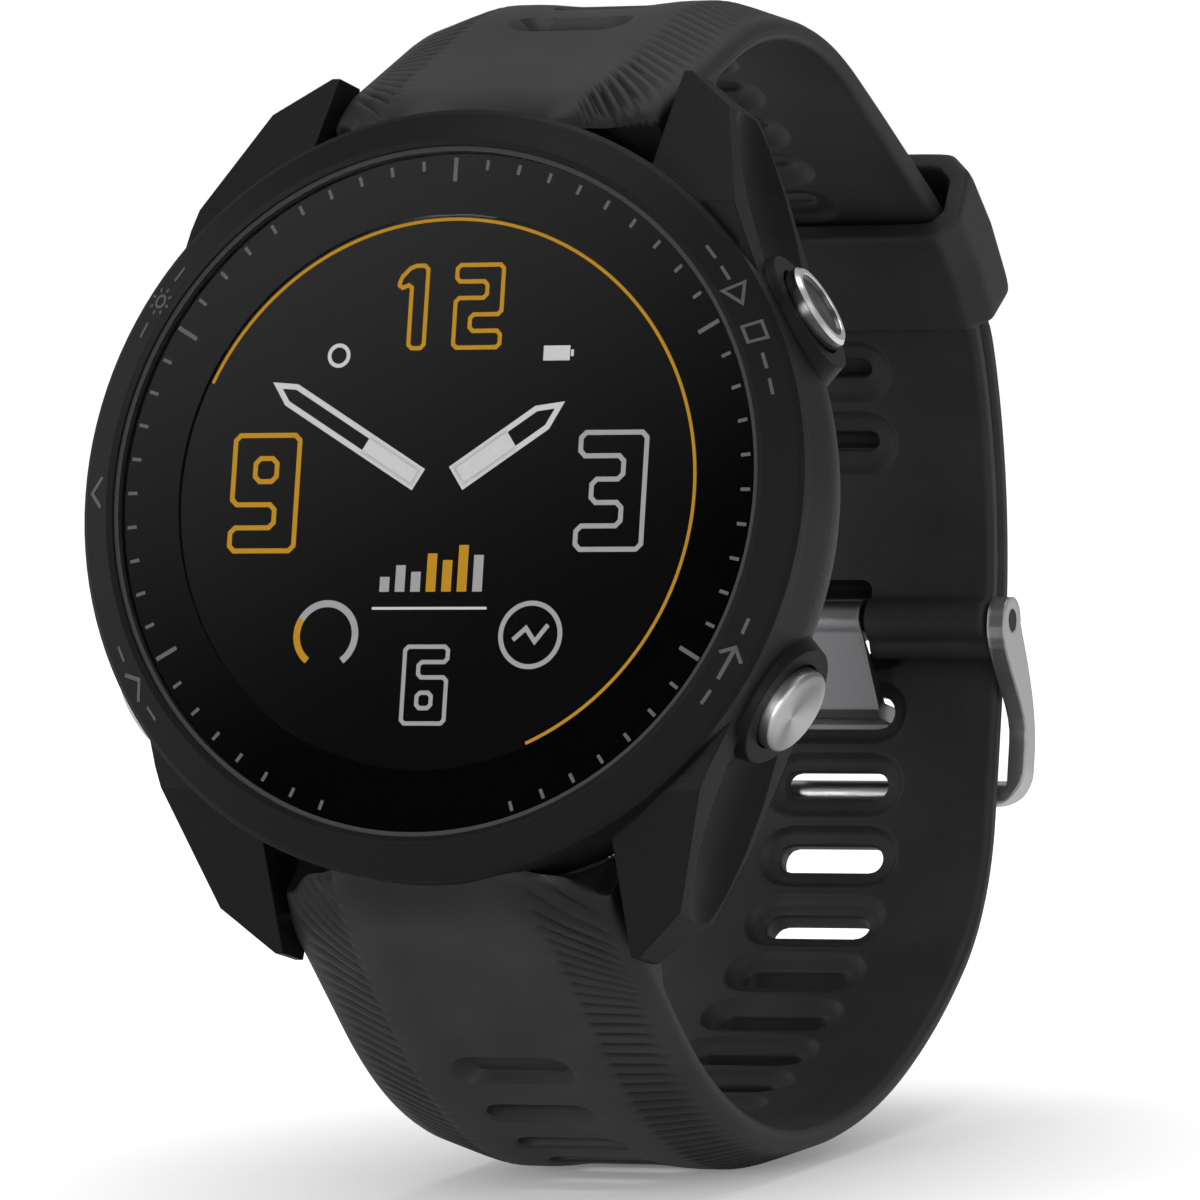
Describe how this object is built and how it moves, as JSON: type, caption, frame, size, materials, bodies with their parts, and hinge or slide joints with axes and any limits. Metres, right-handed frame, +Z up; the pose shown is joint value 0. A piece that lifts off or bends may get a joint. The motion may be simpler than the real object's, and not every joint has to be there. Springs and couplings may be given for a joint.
{
  "type": "running watch",
  "caption": "Round running watch on a closed silicone strap loop, with sprung side buttons, a pin buckle, a sliding keeper and quick release spring bars.",
  "frame": {"origin": "bottom centre of the bounding box, on the surface that the strap loop stands on", "axes": "+Z up, +X towards the 3 o'clock side, -Y towards the viewer of the face; the watch leans back by 14 degrees"},
  "size_m": [0.0478, 0.0742, 0.0723],
  "materials": {
    "case_polymer": "fine matt moulded grain",
    "bezel_polymer": "satin moulded, slightly smoother than the case",
    "cover_glass": "polished",
    "sensor_glass": "polished dark",
    "seal_rubber": "matt",
    "black_print": "black print",
    "screen": "dark screen",
    "light_guide": "clear white",
    "cover_polymer": "matt",
    "circuit_board": "solder resist",
    "tin_plate": "satin",
    "brass": "satin",
    "emitter": "clear",
    "chrome": "polished",
    "sunray_disc": "sunray brushed",
    "dark_steel": "satin",
    "satin_button": "satin",
    "steel": "turned",
    "satin_buckle": "brushed",
    "silicone": "matt silicone"
  },
  "bodies": {
    "watch": {"case_body": "case_polymer", "bezel": "bezel_polymer", "lens": "cover_glass", "lens_gasket": "seal_rubber", "minute_ring": "black_print", "display_panel": "screen", "backlight": "light_guide", "inner_chassis": "cover_polymer", "main_board": "circuit_board", "shield_can": "tin_plate", "battery": "tin_plate", "vibration_motor": "tin_plate", "beeper": "brass", "antenna_ring": "brass", "rear_cover": "cover_polymer", "rear_cover_seal": "seal_rubber", "rear_cover_screws": "steel", "sensor_window": "sensor_glass", "sensor_board": "circuit_board", "sensor_emitters": "emitter", "charging_port": "case_polymer", "charging_contacts": "brass", "tactile_switches": "tin_plate", "button_seals": "seal_rubber", "upper_strap": "silicone", "lower_strap": "silicone", "upper_bar": "steel", "lower_bar": "steel", "buckle_pin": "steel"},
    "start_button": {"start_cap": "dark_steel", "start_ring": "chrome", "start_disc": "sunray_disc", "start_clip": "steel"},
    "back_button": {"back_cap": "satin_button", "back_clip": "steel"},
    "light_button": {"light_cap": "satin_button", "light_clip": "steel"},
    "up_button": {"up_cap": "satin_button", "up_clip": "steel"},
    "down_button": {"down_cap": "satin_button", "down_clip": "steel"},
    "upper_release": {"upper_release_pin": "steel"},
    "lower_release": {"lower_release_pin": "steel"},
    "buckle": {"buckle_frame": "satin_buckle"},
    "tongue": {"buckle_tongue": "satin_buckle"},
    "keeper": {"keeper_loop": "silicone"}
  },
  "joints": [
    {"name": "start_press", "type": "slide", "parent": "watch", "child": "start_button", "axis": [-0.866, -0.121, -0.4851], "range_m": [0, 0.0006], "stiffness_N_per_m": 800, "springref_m": -0.0005},
    {"name": "back_press", "type": "slide", "parent": "watch", "child": "back_button", "axis": [-0.866, 0.121, 0.4851], "range_m": [0, 0.0006], "stiffness_N_per_m": 800, "springref_m": -0.0005},
    {"name": "light_press", "type": "slide", "parent": "watch", "child": "light_button", "axis": [0.866, -0.121, -0.4851], "range_m": [0, 0.0006], "stiffness_N_per_m": 800, "springref_m": -0.0005},
    {"name": "up_press", "type": "slide", "parent": "watch", "child": "up_button", "axis": [1, 0, 0], "range_m": [0, 0.0006], "stiffness_N_per_m": 800, "springref_m": -0.0005},
    {"name": "down_press", "type": "slide", "parent": "watch", "child": "down_button", "axis": [0.866, 0.121, 0.4851], "range_m": [0, 0.0006], "stiffness_N_per_m": 800, "springref_m": -0.0005},
    {"name": "upper_release_slide", "type": "slide", "parent": "watch", "child": "upper_release", "axis": [-1, 0, 0], "range_m": [0, 0.0015], "stiffness_N_per_m": 400, "springref_m": -0.001},
    {"name": "lower_release_slide", "type": "slide", "parent": "watch", "child": "lower_release", "axis": [-1, 0, 0], "range_m": [0, 0.0015], "stiffness_N_per_m": 400, "springref_m": -0.001},
    {"name": "buckle_swing", "type": "hinge", "parent": "watch", "child": "buckle", "pos_m": [0.00068, 0.03288, 0.03121], "axis": [1, 0, 0], "range_deg": [0, 100]},
    {"name": "tongue_swing", "type": "hinge", "parent": "watch", "child": "tongue", "pos_m": [0.00068, 0.03288, 0.03121], "axis": [1, 0, 0], "range_deg": [-1.5, 3]},
    {"name": "keeper_slide", "type": "hinge", "parent": "watch", "child": "keeper", "pos_m": [0.00068, 0.01361, 0.04184], "axis": [1, 0, 0], "range_deg": [-11, 2.5]}
  ]
}
